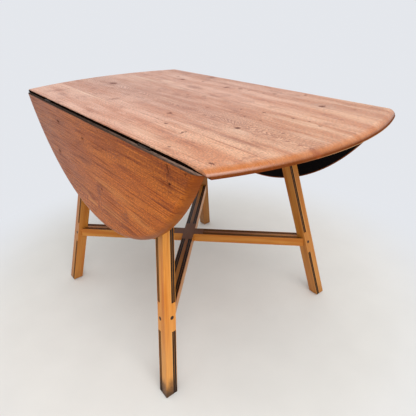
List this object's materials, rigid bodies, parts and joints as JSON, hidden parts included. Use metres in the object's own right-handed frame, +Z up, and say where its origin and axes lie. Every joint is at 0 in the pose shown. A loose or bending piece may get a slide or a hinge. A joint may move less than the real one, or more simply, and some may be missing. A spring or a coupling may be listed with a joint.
{
  "type": "drop-leaf dining table",
  "caption": "Drop-leaf dining table with oval leaves on cranked hinges, splayed reeded legs, crossed reeded stretchers and pull-out leaf bearers.",
  "frame": {"origin": "on the floor under the middle of the fixed top", "axes": "+X along the leaf hinges, +Y across the table to the back leaf, +Z up"},
  "size_m": [1.1482, 0.6988, 0.715],
  "materials": {
    "top_wood": "satin lacquered solid hardwood, pinkish tan, knots and small dents",
    "leaf_wood": "satin lacquered solid hardwood, red brown",
    "leg_wood": "satin lacquered hardwood, golden orange, dark stained grooves",
    "stretcher_wood": "satin lacquered hardwood, golden orange, dark grooves",
    "plug_wood": "dark stained end grain",
    "rail_wood": "plain planed hardwood, unpolished",
    "loper_wood": "plain planed hardwood, worn smooth",
    "dowel_wood": "plain turned hardwood",
    "hinge_steel": "dull aged steel",
    "screw_steel": "dull steel"
  },
  "bodies": {
    "base": {"centre_rail": "rail_wood", "centre_top": "top_wood", "cross_rail_left": "rail_wood", "cross_rail_right": "rail_wood", "hinge_flap_top_back_left": "hinge_steel", "hinge_flap_top_back_right": "hinge_steel", "hinge_flap_top_front_left": "hinge_steel", "hinge_flap_top_front_right": "hinge_steel", "hinge_pin_back_left": "hinge_steel", "hinge_pin_back_right": "hinge_steel", "hinge_pin_front_left": "hinge_steel", "hinge_pin_front_right": "hinge_steel", "hinge_screws_top": "screw_steel", "leg_back_left": "leg_wood", "leg_back_right": "leg_wood", "leg_front_left": "leg_wood", "leg_front_right": "leg_wood", "side_rail_back": "rail_wood", "side_rail_front": "rail_wood", "stretcher_front_left": "stretcher_wood", "stretcher_front_right": "stretcher_wood", "stretcher_plugs": "plug_wood", "stretcher_screws": "screw_steel", "top_screws": "screw_steel"},
    "leaf_front": {"hinge_flap_leaf_front_left": "hinge_steel", "hinge_flap_leaf_front_right": "hinge_steel", "hinge_screws_leaf_front": "screw_steel", "leaf_front": "leaf_wood"},
    "leaf_back": {"hinge_flap_leaf_back_left": "hinge_steel", "hinge_flap_leaf_back_right": "hinge_steel", "hinge_screws_leaf_back": "screw_steel", "leaf_back": "leaf_wood"},
    "loper_front_left": {"loper_front_left": "loper_wood", "loper_stop_front_left": "dowel_wood"},
    "loper_front_right": {"loper_front_right": "loper_wood", "loper_stop_front_right": "dowel_wood"},
    "loper_back_left": {"loper_back_left": "loper_wood", "loper_stop_back_left": "dowel_wood"},
    "loper_back_right": {"loper_back_right": "loper_wood", "loper_stop_back_right": "dowel_wood"}
  },
  "joints": [
    {"name": "leaf_front_hinge", "type": "hinge", "parent": "base", "child": "leaf_front", "pos_m": [0, -0.306, 0.7045], "axis": [-1, 0, 0], "range_deg": [0, 90]},
    {"name": "leaf_back_hinge", "type": "hinge", "parent": "base", "child": "leaf_back", "pos_m": [0, 0.306, 0.7045], "axis": [1, 0, 0], "range_deg": [0, 90]},
    {"name": "loper_front_left_slide", "type": "slide", "parent": "base", "child": "loper_front_left", "axis": [0, -1, 0], "range_m": [0, 0.075]},
    {"name": "loper_front_right_slide", "type": "slide", "parent": "base", "child": "loper_front_right", "axis": [0, -1, 0], "range_m": [0, 0.075]},
    {"name": "loper_back_left_slide", "type": "slide", "parent": "base", "child": "loper_back_left", "axis": [0, 1, 0], "range_m": [0, 0.075]},
    {"name": "loper_back_right_slide", "type": "slide", "parent": "base", "child": "loper_back_right", "axis": [0, 1, 0], "range_m": [0, 0.075]}
  ]
}
